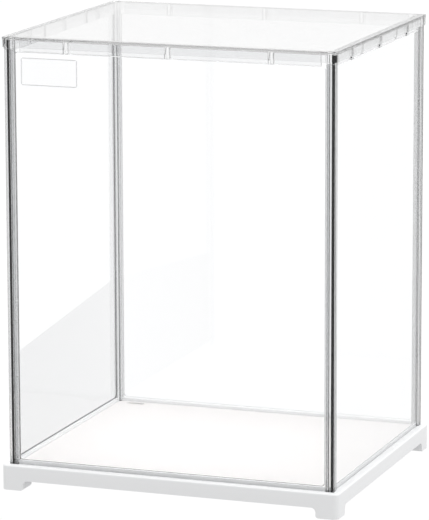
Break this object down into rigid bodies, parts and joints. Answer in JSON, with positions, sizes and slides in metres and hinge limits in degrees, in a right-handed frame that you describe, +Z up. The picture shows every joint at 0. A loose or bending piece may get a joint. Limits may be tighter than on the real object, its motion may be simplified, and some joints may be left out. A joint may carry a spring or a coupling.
{
  "type": "acrylic display case",
  "caption": "Tall clear display case: acrylic sheets in grooved corner posts on a white footed base with a lift-out floor board, under a clear lift-off lid.",
  "frame": {"origin": "middle of the underside, on the surface the case stands on", "axes": "+X to the right seen from the front, +Y towards the back, +Z up; the labelled front sheet faces -Y"},
  "size_m": [0.2558, 0.2208, 0.33],
  "materials": {
    "white_plastic": "satin moulded",
    "floor_board": "matt warm white",
    "clear_sheet": "clear polished acrylic",
    "clear_post": "clear extruded acrylic",
    "clear_lid": "clear moulded acrylic",
    "label": "clear film with a fine printed border"
  },
  "bodies": {
    "base": {"base_tray": "white_plastic"},
    "floor": {"floor_board": "floor_board"},
    "cover": {"corner_post_front_left": "clear_post", "corner_post_front_right": "clear_post", "corner_post_rear_left": "clear_post", "corner_post_rear_right": "clear_post", "front_sheet": "clear_sheet", "rear_sheet": "clear_sheet", "left_sheet": "clear_sheet", "right_sheet": "clear_sheet", "blank_label": "label"},
    "lid": {"lid": "clear_lid"}
  },
  "joints": [
    {"name": "cover_lift", "type": "slide", "parent": "base", "child": "cover", "axis": [0, 0, 1], "range_m": [0, 0.34]},
    {"name": "lid_lift", "type": "slide", "parent": "cover", "child": "lid", "axis": [0, 0, 1], "range_m": [0, 0.08]},
    {"name": "board_lift", "type": "slide", "parent": "base", "child": "floor", "axis": [0, 0, 1], "range_m": [0, 0.06]}
  ]
}
